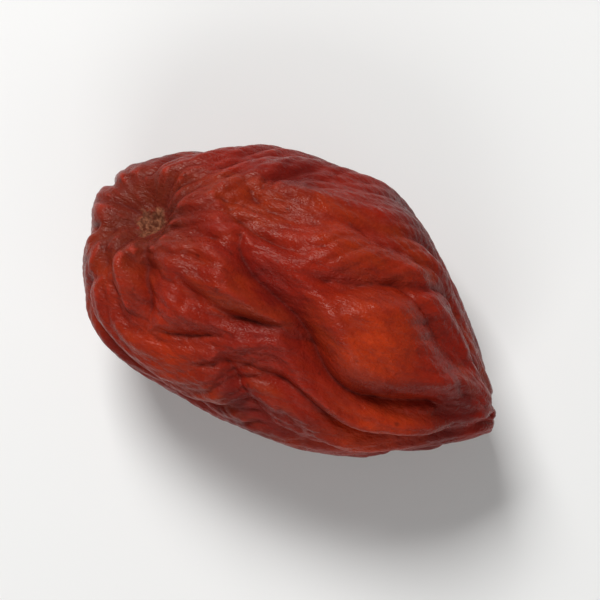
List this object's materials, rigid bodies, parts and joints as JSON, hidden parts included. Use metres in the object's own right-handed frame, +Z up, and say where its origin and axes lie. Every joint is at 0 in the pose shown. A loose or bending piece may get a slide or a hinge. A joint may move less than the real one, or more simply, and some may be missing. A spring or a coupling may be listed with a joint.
{
  "type": "dried jujube",
  "caption": "Dried jujube, whole: a plump oval fruit with a tapered tip, a stalk hollow, deep creases and wrinkled leathery skin, lying on its side.",
  "frame": {"origin": "under the middle of the fruit's box, on the surface that it lies on", "axes": "+X along the fruit from the stalk end to the tip, +Z up from the surface, +Y to the left of +X"},
  "size_m": [0.0274, 0.0168, 0.0154],
  "materials": {
    "skin": "satin, waxy, deep brick red, darker in the creases and browner at the stalk hollow"
  },
  "bodies": {
    "root": {"fruit": "skin"}
  },
  "joints": []
}
